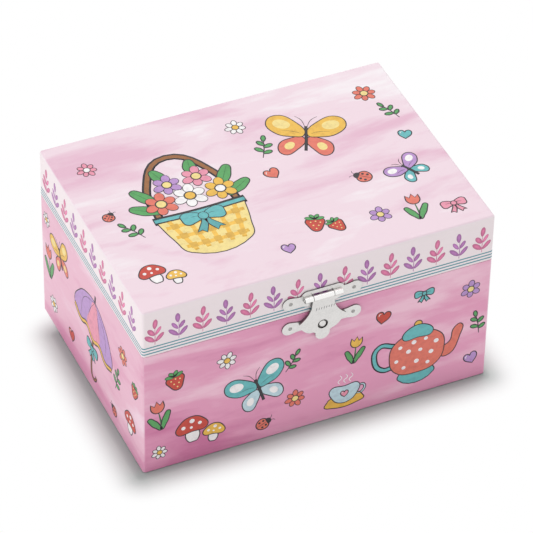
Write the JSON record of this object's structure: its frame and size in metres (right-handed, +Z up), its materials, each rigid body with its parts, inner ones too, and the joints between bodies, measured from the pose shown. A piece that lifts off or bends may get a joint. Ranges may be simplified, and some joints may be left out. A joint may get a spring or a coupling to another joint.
{
  "type": "ballerina jewellery box",
  "caption": "Paper-covered musical jewellery box with a hinged lid, front clasp, mirror, ring tray and a pop-up turning dancer on a wind-up movement.",
  "frame": {"origin": "centre of the underside, on the surface the box stands on", "axes": "+X to the right seen from the clasp side, +Y to the hinges, +Z up"},
  "size_m": [0.152, 0.1255, 0.085],
  "materials": {
    "base_paper": "matte",
    "fibreboard": "matte",
    "body_paper": "satin",
    "lid_paper": "satin",
    "lining_cloth": "matte",
    "lining_board": "matte",
    "stage_velvet": "matte",
    "felt": "matte",
    "roll_velvet": "matte",
    "nickel": "gloss",
    "steel": "satin",
    "brass": "satin",
    "zinc": "satin",
    "mirror_glass": "polished",
    "gear_plastic": "satin",
    "white_plastic": "gloss",
    "dancer_plastic": "satin",
    "tulle": "matte"
  },
  "bodies": {
    "box_body": {"base_sheet": "base_paper", "base_panel": "fibreboard", "front_panel": "fibreboard", "back_panel": "fibreboard", "left_panel": "fibreboard", "right_panel": "fibreboard", "body_paper_wrap": "body_paper", "body_lining": "lining_cloth", "stage_frame": "lining_board", "stage_deck": "stage_velvet", "tray_dividers": "lining_board", "tray_felts": "felt", "ring_roll_1": "roll_velvet", "ring_roll_2": "roll_velvet", "ring_roll_3": "roll_velvet", "hinge_leaf_body_left": "nickel", "hinge_leaf_body_right": "nickel", "body_nails": "nickel", "clasp_body_plate": "nickel", "clasp_stud": "nickel", "movement_bedplate": "zinc", "movement_screws": "steel", "comb": "steel", "governor_bracket": "brass", "spindle_bush": "brass", "key_escutcheon": "nickel", "stop_rod_guide": "brass", "click_spring": "steel"},
    "lid": {"lid_top_panel": "fibreboard", "lid_front_rail": "fibreboard", "lid_back_rail": "fibreboard", "lid_left_rail": "fibreboard", "lid_right_rail": "fibreboard", "lid_paper_wrap": "lid_paper", "lid_lining_frame": "lining_board", "lid_wall_lining": "lining_cloth", "mirror": "mirror_glass", "hinge_leaf_lid_left": "nickel", "hinge_leaf_lid_right": "nickel", "lid_nails": "nickel", "clasp_lid_plate": "nickel", "hinge_and_clasp_pins": "steel"},
    "hasp": {"clasp_hasp": "nickel"},
    "key": {"winding_key": "nickel", "winding_arbor": "steel"},
    "barrel": {"spring_barrel": "brass", "barrel_cap": "brass", "mainspring": "steel"},
    "cylinder": {"cylinder_drum": "brass", "cylinder_arbor": "brass"},
    "stage_drive": {"stage_drive_shaft": "brass"},
    "turntable": {"turntable_gear": "gear_plastic", "turntable_spindle": "white_plastic", "ballerina_spring": "steel"},
    "governor": {"governor_arbor": "brass"},
    "fly": {"governor_fly": "brass"},
    "ballerina": {"ballerina_figure": "dancer_plastic", "ballerina_tutu": "tulle"},
    "stop": {"stop_rod": "steel", "stop_spring": "steel"}
  },
  "joints": [
    {"name": "lid_open", "type": "hinge", "parent": "box_body", "child": "lid", "pos_m": [0, 0.0561, 0.06215], "axis": [-1, 0, 0], "range_deg": [0, 100]},
    {"name": "hasp_swing", "type": "hinge", "parent": "lid", "child": "hasp", "pos_m": [0.0005, -0.0559, 0.0696], "axis": [-1, 0, 0], "range_deg": [0, 120]},
    {"name": "key_wind", "type": "hinge", "parent": "box_body", "child": "key", "pos_m": [0, 0.0545, 0.018], "axis": [0, 1, 0], "continuous": true, "deforming": ["mainspring", "click_spring"]},
    {"name": "cylinder_spin", "type": "hinge", "parent": "box_body", "child": "cylinder", "pos_m": [0.024, 0.03465, 0.018], "axis": [1, 0, 0], "continuous": true},
    {"name": "barrel_spin", "type": "hinge", "parent": "box_body", "child": "barrel", "pos_m": [0, 0.0377, 0.018], "axis": [0, 1, 0], "continuous": true},
    {"name": "stage_drive_spin", "type": "hinge", "parent": "box_body", "child": "stage_drive", "pos_m": [0, 0.03465, 0.034], "axis": [0, 0, 1], "continuous": true},
    {"name": "turntable_spin", "type": "hinge", "parent": "box_body", "child": "turntable", "pos_m": [0, 0.01265, 0.04], "axis": [0, 0, 1], "continuous": true},
    {"name": "governor_spin", "type": "hinge", "parent": "box_body", "child": "governor", "pos_m": [0.04, 0.03465, 0.03], "axis": [1, 0, 0], "continuous": true},
    {"name": "fly_spin", "type": "hinge", "parent": "box_body", "child": "fly", "pos_m": [0.044, 0.02665, 0.03], "axis": [1, 0, 0], "continuous": true},
    {"name": "ballerina_fold", "type": "hinge", "parent": "turntable", "child": "ballerina", "pos_m": [0, 0.01265, 0.04746], "axis": [-1, 0, 0], "range_deg": [0, 44], "deforming": ["ballerina_spring"]},
    {"name": "stop_rod_slide", "type": "slide", "parent": "box_body", "child": "stop", "axis": [0, 0, 1], "range_m": [0, 0.0025], "deforming": ["stop_spring"]}
  ],
  "couplings": [
    {"joint": "barrel_spin", "follows": "cylinder_spin", "ratio": -0.25},
    {"joint": "stage_drive_spin", "follows": "cylinder_spin", "ratio": 1},
    {"joint": "turntable_spin", "follows": "cylinder_spin", "ratio": -0.69231},
    {"joint": "governor_spin", "follows": "cylinder_spin", "ratio": -3},
    {"joint": "fly_spin", "follows": "cylinder_spin", "ratio": 9},
    {"joint": "ballerina_fold", "follows": "lid_open", "ratio": 0.44},
    {"joint": "stop_rod_slide", "follows": "lid_open", "m_per_rad": 0.0014324}
  ]
}
